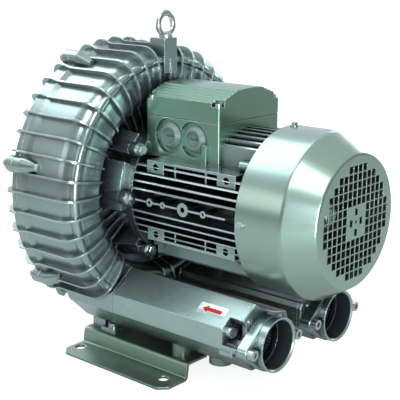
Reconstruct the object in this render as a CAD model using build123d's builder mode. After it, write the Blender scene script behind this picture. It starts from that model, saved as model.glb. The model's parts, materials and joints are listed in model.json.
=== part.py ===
"""Single-stage side channel blower: cast casing, finned motor, two silencers under the motor.

Frame: +X across, -Y to the front (ports and fan cover), +Z up, millimetres.
The origin is on the floor at the centre of the four foot holes.
The motor axis is parallel to Y, over the origin, at axis_z.
"""
import math
import os

from build123d import *

# ---------------------------------------------------------------- driving dimensions
axis_z = 228.0          # height of the motor axis over the floor
fit_gap = 0.05          # running clearance, radial
seat_gap = 0.1          # clearance of seated pieces
free_gap = 0.4          # clearance between pieces that stay clear of each other

# casing: annular channel round the motor axis
rim_r = 185.0           # split flange, outside radius
rim_back_y = 111.4      # back of the cover's rim
cover_rim = 10.0        # thickness of the cover's rim
split_y = rim_back_y - cover_rim
body_r = 180.5          # outside of the channel wall
hump_front_y = 8.0      # front of the channel hump
hump_in_r = 121.5       # inner wall of the hump, towards the motor
web_y = 40.0            # front face of the casing's web
web_t = 10.0
shoulder_r = 24.0       # rounding of the hump's outer front corner
channel_out_r = 171.0
channel_in_r = 128.0
channel_front_y = 15.0
channel_back_y = 119.0
ridge_w = 1.6           # raised ring on the shoulder

rib_count = 45
rib_t = 2.6
rib_tip_r = 191.5
rib_in_r = 125.0

boss_count = 7          # cover screw bosses, the lowest one straight down
boss_r = 10.5
boss_circle = 186.8

hub_face_r = 101.0      # hub that carries the motor flange
hub_root_r = 108.0
hub_pocket_r = 80.0     # floor of the pockets between the motor screws
hub_pockets = ((26.0, 33.0), (50.0, 82.0), (98.0, 130.0), (147.0, 154.0), (190.0, 223.0),
               (241.0, 299.0), (317.0, 350.0))   # degrees

# motor
barrel_r = 73.0
bore_r = 67.0
fin_r = 95.5            # envelope of the fins and of the pads' corners
fin_t = 2.2
fin_pitch = 9.7
frame_back_y = 0.0      # face on the casing's hub
flange_t = 12.0
frame_front_y = -186.0
fin_back_y = -15.0
fin_front_y = -183.0
pad_x = 85.0            # plane of the side pads
pad_hole_z = 43.5
pad_hole_y = (-47.5, -161.5)
pad_w = 28.0
pad_hole_d = 9.0
deck_z = 51.5           # shelf beside the terminal box, over the axis
strip_x = 95.0
ear_circle = 97.0
ear_r = 9.0
ear_turns = (0, 38, 142, 180, 232, 308)

# shaft line
shaft_r = 12.5
core_y = (-150.0, -40.0)
drive_bearing_y = (12.0, 27.0)
free_bearing_y = (-199.0, -184.0)
bearing_r = 26.0
inner_race_r = 16.2
outer_race_r = 22.2
ball_count = 9
ball_r = 3.9
ball_circle = 19.2

# impeller
impeller_r = 166.0
ring_y = (45.5, 88.0)   # blade ring, front and back edges
ring_in_r = 127.0
blade_count = 40
blade_t = 3.0
disc_y = (62.0, 72.0)

# fan and its cover
cover_r = 102.4
cover_open_y = -188.7
cover_cone_y = -252.3
cover_end_y = -288.2
cover_end_r = 80.7
sheet_t = 1.6
grille_pitch = 9.8
grille_hole = 8.4
grille_r = 68.0
grille_rows = 14
fan_r = 86.0
fan_y = (-246.0, -212.0)
blade_fan_count = 8

# terminal box
box_x = 60.0
box_y = (-129.0, -8.6)
box_split_z = 103.4     # over the axis
box_side_z = 128.4
box_top_z = 142.4
box_wall = 4.0
entry_y = (-88.2, -47.3)
entry_z = 80.2
entry_recess_r = 22.6   # two overlapping round recesses hold the plugs
entry_recess = 4.0
plug_r = 17.2
plug_top_r = 12.6
plug_h = 5.0

# silencers and ports
port_x = 64.9
port_z = -150.1         # from the axis
port_out_r = 33.85
port_in_r = 30.3
port_face_y = -229.2
port_seat_y = -205.0    # front face of the silencers
lug_face_y = -219.6
lug_x = 44.0
lug_r = 8.5
silencer_back_y = 2.0
belly_r = 126.5         # hollow of the silencers round the fan cover
silencer_wall = 5.0
liner_r = 25.5
liner_t = 1.2
long_screw = (106.0, -132.0)   # screw through the notch of each silencer

# feet
foot_x = 105.0
foot_y = 78.0
foot_out_x = 131.0
riser_x = 85.0
foot_in_x = 46.0
foot_top_z = 24.0
plate_t = 3.5
foot_ends_y = (-101.0, 91.0)
foot_hole_d = 14.0
leg_bolt = (70.0, 49.0)
front_bolt = (66.0, -75.0)
leg_x = (50.0, 74.0)
leg_y = (61.0, 85.0)

# lifting eye
eye_y = 12.9
eye_seat_z = 195.3      # over the axis
eye_r = 14.0
eye_wire_r = 4.0

os.makedirs("parts", exist_ok=True)
turning = Plane.XY.offset(axis_z)
motor_axis = Axis((0, 0, axis_z), (0, 1, 0))


def facing(y, x=0.0, z=0.0):
    """Plane square to the motor axis, looking to the front; its x is X and its y is Z."""
    return Plane(origin=(x, y, axis_z + z), x_dir=(1, 0, 0), z_dir=(0, -1, 0))


def at_angle(radius, degrees):
    """Point on a circle round the motor axis, in a facing plane."""
    turn = math.radians(degrees)
    return (radius * math.cos(turn), radius * math.sin(turn))


def radial(degrees):
    """Plane through the motor axis; its x runs out along the radius and its y is Y."""
    turn = math.radians(degrees)
    out = (math.cos(turn), 0, math.sin(turn))
    side = (-math.sin(turn), 0, math.cos(turn))
    return Plane(origin=(0, 0, axis_z), x_dir=out, z_dir=side)


def nearest(vertices, x, y):
    """The sketch vertex closest to a point."""
    return vertices.sort_by_distance(Vertex(x, y, 0))[0]


ear_points = [at_angle(ear_circle, turn) for turn in ear_turns]
boss_turns = [360 / boss_count * i - 90 for i in range(boss_count)]
boss_points = [at_angle(boss_circle, turn) for turn in boss_turns]


def save(piece, name):
    """Label one finished piece and write its STEP file."""
    piece.part.label = name
    export_step(piece.part, f"parts/{name}.step")


# ---------------------------------------------------------------- casing
seal_t = 0.8
land_gap = 0.4
land_in_r = 116.0
hub_pocket_out_r = 112.0
web_rib_y = 34.0          # front edge of the ribs on the web
spigot_r = bore_r - fit_gap
spigot_len = 6.0
seal_r = 21.0
seal_y = (42.5, 49.5)
duct_back_y = 86.0
duct_arc = (5.0, 39.0)    # each duct's reach, in degrees from straight down
wall_mid_r = 176.0
duct_bore_r = 26.0
stripper_arc = 26.0
boss_front_y = 89.0
boss_ramp_y = 70.0        # each boss runs out here, on a smaller circle
boss_ramp_circle = 179.0
boss_ramp_r = 6.5
eye_boss = (24.0, 4.0, 30.0)
eye_hole_depth = 15.0
leg_lug_t = 6.0
leg_lug_x = (56.0, 79.0)
leg_lug_y = (37.0, 63.0)
leg_top_z = 78.0
screw_8_r = 3.9
hole_8_r = 4.0
free_8_r = 4.6


def silencer_face(plane, side, shrink=0.0):
    """Outline shared by a silencer and its duct, on a facing plane; side is 1 right, -1 left."""
    inner, outer = port_x - 51.4 + shrink, port_x + 52.1 - shrink
    low = port_z - 33.9 + shrink
    arch = belly_r + shrink
    slip = 0.45 * shrink
    peak_x, dip_x = 79.2 - slip, inner + 3.5
    peak = (side * peak_x, -math.sqrt(arch**2 - peak_x**2))
    dip = (side * dip_x, -math.sqrt(arch**2 - dip_x**2))
    middle_x = (peak_x + dip_x) / 2
    middle = (side * middle_x, -math.sqrt(arch**2 - middle_x**2))
    with BuildSketch(plane) as face:
        with BuildLine():
            ThreePointArc(peak, middle, dip)
            Polyline(
                dip,
                (side * inner, dip[1] - 7.6),
                (side * inner, port_z - 1.9 + slip),
                (side * (port_x - 18.9 + slip), low),
                (side * (port_x + 19.1 - slip), low),
                (side * outer, port_z - 1.5 + slip),
                (side * outer, port_z + 24.4 - slip),
                peak,
            )
        make_face()
    return face.sketch


def sector(inner, outer, start, end):
    """Adds one ring sector between two angles to the sketch in work."""
    middle = (start + end) / 2
    with BuildLine() as outline:
        ThreePointArc(at_angle(outer, start), at_angle(outer, middle), at_angle(outer, end))
        Line(at_angle(outer, end), at_angle(inner, end))
        ThreePointArc(at_angle(inner, end), at_angle(inner, middle), at_angle(inner, start))
        Line(at_angle(inner, start), at_angle(outer, start))
    make_face(outline.edges())


def block(spans_x, spans_y):
    """Adds one rectangle, from its two spans, to the sketch in work."""
    with Locations((sum(spans_x) / 2, sum(spans_y) / 2)):
        Rectangle(abs(spans_x[1] - spans_x[0]), abs(spans_y[1] - spans_y[0]))


def rib_turns():
    """Angles of the casing's ribs; those that would stand inside the ducts are left out."""
    turns = [90 + 360 / rib_count * i for i in range(rib_count)]
    return [turn for turn in turns if not duct_arc[0] < abs(turn - 270) < duct_arc[1]]


def build_housing():
    """Cast casing: channel hump, web and hub, ribs, ducts, screw bosses, legs and eye boss."""
    with BuildPart() as housing:
        with BuildSketch(turning) as section:
            with BuildLine():
                Polyline(
                    (spigot_r, split_y), (rim_r, split_y), (rim_r, 93.0), (body_r, 86.0),
                    (body_r - 2.5, hump_front_y), (hump_in_r, hump_front_y + 3.0),
                    (hump_in_r - 5.0, web_y), (hub_root_r, web_y), (hub_face_r, frame_back_y),
                    (spigot_r, frame_back_y), close=True,
                )
            make_face()
            fillet(nearest(section.vertices(), body_r - 2.5, hump_front_y), shoulder_r)
            fillet(nearest(section.vertices(), hump_in_r, hump_front_y + 3.0), 13.0)
            fillet(nearest(section.vertices(), hump_in_r - 5.0, web_y), 3.0)
            fillet(nearest(section.vertices(), hub_root_r, web_y), 3.0)
        revolve(axis=motor_axis)
        with BuildSketch(turning):
            with BuildLine():
                Polyline(
                    (seal_r, seal_y[0]), (seal_r, web_y + web_t), (spigot_r + 1.0, web_y + web_t),
                    (spigot_r + 1.0, frame_back_y), (spigot_r, frame_back_y),
                    (spigot_r, -spigot_len), (60.0, -spigot_len), (57.0, 30.0), (36.0, 30.0),
                    (33.0, 8.0), (bearing_r, 8.0), (bearing_r, drive_bearing_y[1]),
                    (outer_race_r, drive_bearing_y[1]), (outer_race_r, 33.0), (16.0, 33.0),
                    (16.0, seal_y[0]), close=True,
                )
            make_face()
        revolve(axis=motor_axis)
        with BuildSketch(turning):
            with Locations((166.0, 14.0)):
                Circle(4.6 + ridge_w)
        revolve(axis=motor_axis)
        # ducts to the silencers
        for side in (-1, 1):
            add(extrude(silencer_face(facing(duct_back_y), side), duct_back_y - silencer_back_y,
                        mode=Mode.PRIVATE))
        # cover screw bosses
        with BuildSketch(facing(split_y)):
            with Locations(*boss_points):
                Circle(boss_r)
        extrude(amount=split_y - boss_front_y)
        for turn in boss_turns:
            with BuildSketch(facing(boss_front_y)):
                with Locations(at_angle(boss_circle, turn)):
                    Circle(boss_r)
            with BuildSketch(facing(boss_ramp_y)):
                with Locations(at_angle(boss_ramp_circle, turn)):
                    Circle(boss_ramp_r)
            loft()
        # pockets in the hub, between the seats of the motor screws
        with BuildSketch(facing(web_y)):
            for start, end in hub_pockets:
                sector(hub_pocket_r, hub_pocket_out_r, start, end)
        extrude(amount=web_y - frame_back_y, mode=Mode.SUBTRACT)
        with BuildSketch(facing(web_y + 4.0)):
            with Locations(*ear_points):
                Circle(ear_r)
        extrude(amount=web_y + 4.0 - frame_back_y)
        # seat of the lifting eye
        width, front, back = eye_boss
        with BuildSketch(facing(back)):
            with Locations((0, (eye_seat_z + 150.0) / 2)):
                Rectangle(width, eye_seat_z - 150.0)
        extrude(amount=back - front)
        # legs with the lugs that stand on the feet
        with BuildSketch(Plane.XY.offset(foot_top_z)):
            for side in (-1, 1):
                block([side * x for x in leg_x], leg_y)
        extrude(amount=leg_top_z - foot_top_z)
        with BuildSketch(Plane.XY.offset(foot_top_z)):
            for side in (-1, 1):
                block([side * x for x in leg_lug_x], leg_lug_y)
        extrude(amount=leg_lug_t)
        # annular channel and impeller space, open at the back
        with BuildSketch(turning) as channel:
            with BuildLine():
                Polyline(
                    (channel_in_r, channel_front_y), (channel_out_r, channel_front_y),
                    (channel_out_r, split_y + 1), (seal_r + 1, split_y + 1),
                    (seal_r + 1, web_y + web_t), (land_in_r, web_y + web_t),
                    (land_in_r, ring_y[0] - land_gap), (channel_in_r, ring_y[0] - land_gap),
                    close=True,
                )
            make_face()
            fillet(nearest(channel.vertices(), channel_in_r, channel_front_y), 17.0)
            fillet(nearest(channel.vertices(), channel_out_r, channel_front_y), 17.0)
        revolve(axis=motor_axis, mode=Mode.SUBTRACT)
        with BuildSketch(facing(channel_front_y + 20.0)):
            with Locations((-port_x, port_z), (port_x, port_z)):
                Circle(duct_bore_r)
        extrude(amount=channel_front_y + 20.0 - silencer_back_y, mode=Mode.SUBTRACT)
        # stripper between the two ducts
        with BuildSketch(radial(-90 - stripper_arc / 2)):
            with BuildLine():
                Polyline(
                    (channel_in_r - 1, channel_front_y - 2), (channel_out_r + 1, channel_front_y - 2),
                    (channel_out_r + 1, split_y), (impeller_r + fit_gap * 8, split_y),
                    (impeller_r + fit_gap * 8, ring_y[0] - land_gap),
                    (channel_in_r - 1, ring_y[0] - land_gap), close=True,
                )
            make_face()
        revolve(axis=motor_axis, revolution_arc=-stripper_arc)
        # holes
        with BuildSketch(facing(frame_back_y)):
            with Locations(*ear_points):
                Circle(hole_8_r)
        extrude(amount=-22.0, mode=Mode.SUBTRACT)
        with BuildSketch(Plane.XY.offset(foot_top_z)):
            for side in (-1, 1):
                with Locations((side * leg_bolt[0], leg_bolt[1])):
                    Circle(free_8_r)
        extrude(amount=leg_lug_t, mode=Mode.SUBTRACT)
        with BuildSketch(facing(silencer_back_y)):
            with Locations(*[(side * long_screw[0], long_screw[1]) for side in (-1, 1)]):
                Circle(hole_8_r)
        extrude(amount=-24.0, mode=Mode.SUBTRACT)
        # ribs in planes through the axis: rim, shoulder, and down to the web
        with BuildSketch(*[radial(turn) for turn in rib_turns()]):
            with BuildLine():
                Polyline((wall_mid_r, 34.0), (wall_mid_r, split_y), (rib_tip_r, split_y),
                         (187.2, 90.0), (187.2, 29.0))
                ThreePointArc((187.2, 29.0), (180.0, 10.5), (161.0, 3.2))
                ThreePointArc((161.0, 3.2), (143.0, 3.2), (rib_in_r, 9.5))
                ThreePointArc((rib_in_r, 9.5), (119.5, 14.0), (117.0, 21.0))
                Polyline((117.0, 21.0), (112.0, web_rib_y), (hub_pocket_r - 1.0, web_rib_y),
                         (hub_pocket_r - 1.0, web_y + 1.5), (119.0, web_y + 4.0), (124.5, 17.0))
                ThreePointArc((124.5, 17.0), (128.0, 12.4), (133.0, 12.0))
                Line((133.0, 12.0), (157.0, 11.4))
                ThreePointArc((157.0, 11.4), (170.5, 18.0), (wall_mid_r, 34.0))
            make_face()
        extrude(amount=rib_t / 2, both=True)
        # threaded holes that the ribs stay clear of
        with BuildSketch(facing(split_y)):
            with Locations(*boss_points):
                Circle(hole_8_r)
        extrude(amount=20.0, mode=Mode.SUBTRACT)
        with BuildSketch(Plane.XY.offset(axis_z + eye_seat_z)):
            with Locations((0, eye_y)):
                Circle(hole_8_r)
        extrude(amount=-eye_hole_depth, mode=Mode.SUBTRACT)
    return housing


def build_cover_seal():
    """Flat gasket on the split face, with an ear at each screw."""
    with BuildPart() as seal:
        with BuildSketch(facing(split_y + seal_t)):
            Circle(rim_r - 1.0)
            with Locations(*boss_points):
                Circle(boss_r - 0.8)
            Circle(channel_out_r + 0.5, mode=Mode.SUBTRACT)
            with Locations(*boss_points):
                Circle(free_8_r, mode=Mode.SUBTRACT)
        extrude(amount=seal_t)
    return seal


dome_back_y = 126.0
cover_middle_y = (96.0, 106.0)
cover_boss_y = 115.0


def build_rear_cover():
    """Cast cover with the rear half of the channel and ribs on its back."""
    start = split_y + seal_t
    with BuildPart() as cover:
        with BuildSketch(turning) as section:
            with BuildLine():
                Polyline(
                    (0, cover_middle_y[0]), (land_in_r - 3, cover_middle_y[0]), (land_in_r - 3, start),
                    (rim_r, start), (rim_r, rim_back_y), (178.0, rim_back_y), (176.0, dome_back_y),
                    (hump_in_r, dome_back_y), (hump_in_r - 10, cover_middle_y[1]),
                    (0, cover_middle_y[1]), close=True,
                )
            make_face()
            fillet(nearest(section.vertices(), 176.0, dome_back_y), 15.0)
            fillet(nearest(section.vertices(), hump_in_r, dome_back_y), 8.0)
        revolve(axis=motor_axis)
        with BuildSketch(turning):
            with BuildLine():
                Polyline(
                    (land_in_r, ring_y[1] + land_gap), (channel_in_r, ring_y[1] + land_gap),
                    (channel_in_r, start + 4), (land_in_r - 4, start + 4),
                    (land_in_r - 4, cover_middle_y[0]), (land_in_r, cover_middle_y[0]), close=True,
                )
            make_face()
        revolve(axis=motor_axis)
        with BuildSketch(facing(cover_boss_y)):
            with Locations(*boss_points):
                Circle(boss_r)
        extrude(amount=cover_boss_y - start)
        with BuildSketch(turning) as channel:
            with BuildLine():
                Polyline(
                    (channel_in_r, start - 1), (channel_out_r, start - 1),
                    (channel_out_r, channel_back_y), (channel_in_r, channel_back_y), close=True,
                )
            make_face()
            fillet(nearest(channel.vertices(), channel_in_r, channel_back_y), 14.0)
            fillet(nearest(channel.vertices(), channel_out_r, channel_back_y), 14.0)
        revolve(axis=motor_axis, mode=Mode.SUBTRACT)
        with BuildSketch(*[radial(90 + 360 / rib_count * i) for i in range(rib_count)]):
            with BuildLine():
                Line((wall_mid_r, start), (rib_tip_r, start))
                Line((rib_tip_r, start), (rib_tip_r, rim_back_y))
                ThreePointArc((rib_tip_r, rim_back_y), (180.0, 126.0), (163.0, 131.0))
                Line((163.0, 131.0), (134.0, 131.0))
                ThreePointArc((134.0, 131.0), (120.0, 125.0), (108.0, cover_middle_y[1] - 2))
                Polyline((108.0, cover_middle_y[1] - 2), (118.0, 108.0), (122.0, 122.5),
                         (165.0, 122.5), (wall_mid_r, start))
            make_face()
        extrude(amount=rib_t / 2, both=True)
        with BuildSketch(facing(cover_boss_y + 12.0)):
            with Locations(*boss_points):
                Circle(7.4)
        extrude(amount=12.0, mode=Mode.SUBTRACT)
        with BuildSketch(facing(cover_boss_y)):
            with Locations(*boss_points):
                Circle(free_8_r)
        extrude(amount=cover_boss_y - start, mode=Mode.SUBTRACT)
        # rear half of the stripper
        with BuildSketch(radial(-90 - stripper_arc / 2)):
            with BuildLine():
                Polyline(
                    (channel_in_r - 1, ring_y[1] + land_gap),
                    (impeller_r + fit_gap * 8, ring_y[1] + land_gap),
                    (impeller_r + fit_gap * 8, start), (channel_out_r + 1, start),
                    (channel_out_r + 1, channel_back_y + 2), (channel_in_r - 1, channel_back_y + 2),
                    close=True,
                )
            make_face()
        revolve(axis=motor_axis, revolution_arc=-stripper_arc)
    return cover


def cap_screw(plane, points, shank_r, length, head_r, head_h, socket_r):
    """Socket head screws as one group: heads stand on the plane, shanks go back from it."""
    with BuildPart() as screws:
        with BuildSketch(plane):
            with Locations(*points):
                Circle(head_r)
        extrude(amount=head_h)
        with BuildSketch(plane):
            with Locations(*points):
                Circle(shank_r)
        extrude(amount=-length)
        with BuildSketch(plane.offset(head_h)):
            with Locations(*points):
                RegularPolygon(socket_r, 6)
        extrude(amount=-head_h * 0.6, mode=Mode.SUBTRACT)
    return screws


def hex_bolt(plane, points, shank_r, length, head_r, head_h):
    """Hexagon head bolts as one group: heads stand on the plane, shanks go back from it."""
    with BuildPart() as bolts:
        with BuildSketch(plane):
            with Locations(*points):
                RegularPolygon(head_r, 6)
        extrude(amount=head_h)
        chamfer(bolts.faces().group_by(Axis(plane.origin, plane.z_dir))[-1].edges(), head_h * 0.14)
        with BuildSketch(plane):
            with Locations(*points):
                Circle(shank_r)
        extrude(amount=-length)
    return bolts


def washers(plane, points, outer_r, inner_r, thickness):
    """Flat washers or gaskets as one group, standing on the plane."""
    with BuildPart() as rings:
        with BuildSketch(plane):
            with Locations(*points):
                Circle(outer_r)
            with Locations(*points):
                Circle(inner_r, mode=Mode.SUBTRACT)
        extrude(amount=thickness)
    return rings


def turned(points):
    """Piece turned round the motor axis from (radius, y) points."""
    with BuildPart() as piece:
        with BuildSketch(turning):
            with BuildLine():
                Polyline(*points, close=True)
            make_face()
        revolve(axis=motor_axis)
    return piece


# ---------------------------------------------------------------- motor
fin_rows = [fin_pitch * (i + 0.5) for i in range(6)]
web_ys = (-79.6, -129.1)
pad_z = (36.0, 51.5)
strip_bosses = ((-46.3, 5.0), (-68.7, 4.0), (-101.9, 8.5), (-134.4, 4.4))
strip_y = (-168.0, -22.0)
box_cut = 0.4
seat_z = 76.0           # seats of the terminal box over the axis
seat_points = [(x, y) for x in (-34.0, 34.0) for y in (-112.0, -26.0)]
shield_screw_circle = 81.0


def build_motor_frame():
    """Finned motor frame: barrel, flange with ears, fins, pads, strips and box seats."""
    with BuildPart() as frame:
        with BuildSketch(facing(frame_back_y)):
            Circle(barrel_r)
        extrude(amount=-frame_front_y)
        with BuildSketch(facing(frame_back_y)):
            Circle(92.0)
            with Locations(*ear_points):
                Circle(ear_r)
        extrude(amount=flange_t)
        # level fins on both sides, upright fins above and below
        with BuildSketch(facing(fin_back_y)):
            with Locations(*[(0, sign * row) for row in fin_rows[1:5] for sign in (-1, 1)]):
                Rectangle(2 * fin_r, fin_t)
            with Locations(*[(sign * row, level * (deck_z + fin_r) / 2)
                             for row in fin_rows for sign in (-1, 1) for level in (-1, 1)]):
                Rectangle(fin_t, fin_r - deck_z + 2)
            Circle(fin_r, mode=Mode.INTERSECT)
        extrude(amount=fin_back_y - fin_front_y)
        # room for the heads of the flange bolts
        with BuildSketch(facing(fin_back_y + 1.0)):
            with Locations(*ear_points):
                Circle(ear_r + 0.5)
            Circle(barrel_r, mode=Mode.SUBTRACT)
        extrude(amount=9.0, mode=Mode.SUBTRACT)
        corners = [(side, level) for side in (-1, 1) for level in (-1, 1)]
        with BuildSketch(facing(pad_hole_y[0] + pad_w / 2)):
            for side, level in corners:
                with Locations((side * (pad_x + 50.0) / 2, level * (deck_z - 1.5))):
                    Rectangle(pad_x - 50.0, 3.0)
        extrude(amount=pad_hole_y[0] - pad_hole_y[1] + pad_w)
        with BuildSketch(*[facing(y + pad_w / 2) for y in pad_hole_y]):
            for side, level in corners:
                with Locations((side * (pad_x + 60.0) / 2, level * sum(pad_z) / 2)):
                    Rectangle(pad_x - 60.0, pad_z[1] - pad_z[0])
        extrude(amount=pad_w)
        with BuildSketch(*[facing(y + fin_t / 2) for y in web_ys]):
            for side, level in corners:
                with Locations((side * (pad_x + 59.0) / 2, level * (deck_z + 33.0) / 2)):
                    Rectangle(pad_x - 61.0, deck_z - 33.0)
        extrude(amount=fin_t)
        # middle strips with their bosses
        with BuildSketch(facing(strip_y[1])):
            for side in (-1, 1):
                with Locations((side * (strip_x + barrel_r - 3) / 2, 0)):
                    Rectangle(strip_x - barrel_r + 3, fin_t)
        extrude(amount=strip_y[1] - strip_y[0])
        for side in (-1, 1):
            out = Plane(origin=(side * (barrel_r - 3), 0, axis_z), x_dir=(0, 1, 0), z_dir=(side, 0, 0))
            with BuildSketch(out):
                for y, radius in strip_bosses:
                    with Locations((y, 0)):
                        Circle(radius)
            extrude(amount=strip_x - barrel_r + 3.6)
            with BuildSketch(out.offset(strip_x - barrel_r + 3.6)):
                for y, radius in strip_bosses:
                    with Locations((y, 0)):
                        Circle(radius * 0.42)
            extrude(amount=-6.0, mode=Mode.SUBTRACT)
            pad_plane = Plane(origin=(side * pad_x, 0, axis_z), x_dir=(0, 1, 0), z_dir=(side, 0, 0))
            with BuildSketch(pad_plane):
                with Locations(*[(y, z) for y in pad_hole_y for z in (-pad_hole_z, pad_hole_z)]):
                    Circle(pad_hole_d / 2)
            extrude(amount=-8.0, mode=Mode.SUBTRACT)
        # room for the terminal box, then its seats
        width, depth = 2 * (box_x + box_cut), box_y[1] - box_y[0] + 2 * box_cut
        with BuildSketch(Plane.XY.offset(axis_z + deck_z)):
            with Locations((0, sum(box_y) / 2)):
                Rectangle(width, depth)
        extrude(amount=60.0, mode=Mode.SUBTRACT)
        with BuildSketch(facing(box_y[1] + box_cut)):
            Circle(barrel_r)
        extrude(amount=depth)
        with BuildSketch(Plane.XY.offset(axis_z + deck_z)):
            with Locations(*seat_points):
                Circle(7.0)
        extrude(amount=seat_z - deck_z)
        # bosses for the end shield's screws
        with BuildSketch(facing(fin_front_y + 20.0)):
            with PolarLocations(shield_screw_circle, 4, start_angle=45):
                Circle(7.0)
        extrude(amount=fin_front_y + 20.0 - frame_front_y)
        # bore and holes
        with BuildSketch(facing(frame_back_y)):
            Circle(bore_r)
        extrude(amount=-frame_front_y, mode=Mode.SUBTRACT)
        with BuildSketch(facing(frame_front_y)):
            with PolarLocations(shield_screw_circle, 4, start_angle=45):
                Circle(3.1)
        extrude(amount=-16.0, mode=Mode.SUBTRACT)
        with BuildSketch(facing(frame_back_y)):
            with Locations(*ear_points):
                Circle(free_8_r)
        extrude(amount=flange_t, mode=Mode.SUBTRACT)
        with BuildSketch(Plane.XY.offset(axis_z + seat_z)):
            with Locations(*seat_points):
                Circle(2.6)
        extrude(amount=-9.0, mode=Mode.SUBTRACT)
        # lead hole into the terminal box
        with BuildSketch(Plane.XY.offset(axis_z + bore_r - 9.0)):
            with Locations((0, -30.0)):
                Circle(9.0)
        extrude(amount=barrel_r - bore_r + 12.0, mode=Mode.SUBTRACT)
    return frame


slot_count = 12
slot_circle = 53.0
slot_size = (15.0, 8.0)
stator_in_r = 40.5
rotor_r = 40.0
core_seat_r = 16.0


def build_stator_core():
    """Laminated stator ring with slots, pressed into the frame."""
    with BuildPart() as core:
        with BuildSketch(facing(core_y[1])):
            Circle(bore_r)
            Circle(stator_in_r, mode=Mode.SUBTRACT)
            with PolarLocations(slot_circle, slot_count):
                Rectangle(*slot_size, mode=Mode.SUBTRACT)
        extrude(amount=core_y[1] - core_y[0])
    return core


def build_winding():
    """Copper winding: bars in the slots, joined by an end turn at each side."""
    gap = 2 * seat_gap
    bar = (slot_size[0] - gap, slot_size[1] - gap)
    with BuildPart() as winding:
        with BuildSketch(facing(core_y[1])):
            with PolarLocations(slot_circle, slot_count):
                Rectangle(*bar)
        extrude(amount=core_y[1] - core_y[0])
        for y, depth in ((core_y[1] + 20.0, 19.8), (core_y[0] - 0.2, 19.8)):
            with BuildSketch(facing(y)) as turn:
                Circle(slot_circle + slot_size[0] / 2)
                Circle(slot_circle - slot_size[0] / 2, mode=Mode.SUBTRACT)
            extrude(amount=depth)
        with BuildSketch(facing(core_y[1] + 0.4)):
            with PolarLocations(slot_circle, slot_count):
                Rectangle(*bar)
        extrude(amount=core_y[1] - core_y[0] + 0.8)
    return winding


impeller_seat_r = 12.0
seal_neck_r = 12.5
shaft_end_y = 80.0
fan_seat_r = 11.0
clip_y = (-249.4, -248.2)
key_size = (8.0, 7.0, 22.0)
key_y = (55.0, 77.0)


def build_shaft():
    """Stepped shaft with a key seat and a screw hole for the impeller and a clip groove."""
    shoulder_r = 15.5
    with BuildPart() as shaft:
        with BuildSketch(turning):
            with BuildLine():
                Polyline(
                    (0, -254.0), (fan_seat_r - 1, -254.0), (fan_seat_r, -253.0),
                    (fan_seat_r, clip_y[0]), (fan_seat_r - 1, clip_y[0]),
                    (fan_seat_r - 1, clip_y[1]), (fan_seat_r, clip_y[1]),
                    (fan_seat_r, -200.0), (shaft_r, -200.0), (shaft_r, free_bearing_y[1]),
                    (shoulder_r, free_bearing_y[1]), (shoulder_r, core_y[0]),
                    (core_seat_r, core_y[0]), (core_seat_r, core_y[1]), (shoulder_r, core_y[1]),
                    (shoulder_r, drive_bearing_y[0]), (shaft_r, drive_bearing_y[0]),
                    (shaft_r, 52.5), (impeller_seat_r, 52.5), (impeller_seat_r, shaft_end_y - 1),
                    (impeller_seat_r - 1, shaft_end_y - 1), (0, shaft_end_y - 1), close=True,
                )
            make_face()
        revolve(axis=motor_axis)
        with BuildSketch(facing(shaft_end_y - 1)):
            Circle(4.05)
        extrude(amount=26.0, mode=Mode.SUBTRACT)
        with BuildSketch(facing(key_y[1])):
            with Locations((0, impeller_seat_r)):
                Rectangle(key_size[0], 8.0)
        extrude(amount=key_y[1] - key_y[0], mode=Mode.SUBTRACT)
    return shaft


def build_key():
    """Parallel key between shaft and impeller."""
    with BuildPart() as key:
        with BuildSketch(facing(key_y[1])):
            with Locations((0, impeller_seat_r - 4.0 + key_size[1] / 2)):
                Rectangle(key_size[0], key_size[1])
        extrude(amount=key_y[1] - key_y[0])
    return key


def build_impeller():
    """Impeller: hub, disc, rim and open blades on both sides of a middle web."""
    middle = sum(disc_y) / 2
    with BuildPart() as impeller:
        with BuildSketch(turning):
            with BuildLine():
                Polyline(
                    (impeller_seat_r, 52.6), (27.0, 52.6), (29.0, disc_y[0] - 3.0),
                    (60.0, disc_y[0]), (120.0, disc_y[0]), (121.5, ring_y[0]),
                    (ring_in_r, ring_y[0]), (ring_in_r, ring_y[1]), (121.5, ring_y[1]),
                    (120.0, disc_y[1]), (60.0, disc_y[1]), (29.0, disc_y[1] + 3.0),
                    (27.0, shaft_end_y), (impeller_seat_r, shaft_end_y), close=True,
                )
            make_face()
        revolve(axis=motor_axis)
        with BuildSketch(facing(middle + 1.6)):
            Circle(impeller_r - 9.0)
            Circle(ring_in_r - 1.0, mode=Mode.SUBTRACT)
        extrude(amount=3.2)
        with BuildSketch(facing(ring_y[1])):
            with PolarLocations((impeller_r + ring_in_r - 1) / 2, blade_count):
                Rectangle(impeller_r - ring_in_r + 1, blade_t)
        extrude(amount=ring_y[1] - ring_y[0])
        with BuildSketch(facing(disc_y[1] + 1)):
            with PolarLocations(82.0, 6, start_angle=30):
                Circle(11.0)
        extrude(amount=disc_y[1] - disc_y[0] + 2, mode=Mode.SUBTRACT)
        with BuildSketch(facing(shaft_end_y)):
            with Locations((0, impeller_seat_r)):
                Rectangle(key_size[0] + 0.1, 2 * (key_size[1] - 4.0) + 0.4)
        extrude(amount=shaft_end_y - 52.6, mode=Mode.SUBTRACT)
    return impeller


def bearing_rings(y):
    """Outer and inner ring of one bearing, with the ball groove in each."""
    middle = sum(y) / 2
    rings = []
    for inner, outer in ((outer_race_r, bearing_r), (shaft_r, inner_race_r)):
        with BuildPart() as ring:
            with BuildSketch(turning):
                with BuildLine():
                    Polyline((inner, y[0]), (outer, y[0]), (outer, y[1]), (inner, y[1]), close=True)
                make_face()
                with Locations((ball_circle, middle)):
                    Circle(ball_r + fit_gap, mode=Mode.SUBTRACT)
            revolve(axis=motor_axis)
        rings.append(ring)
    return rings


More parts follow.
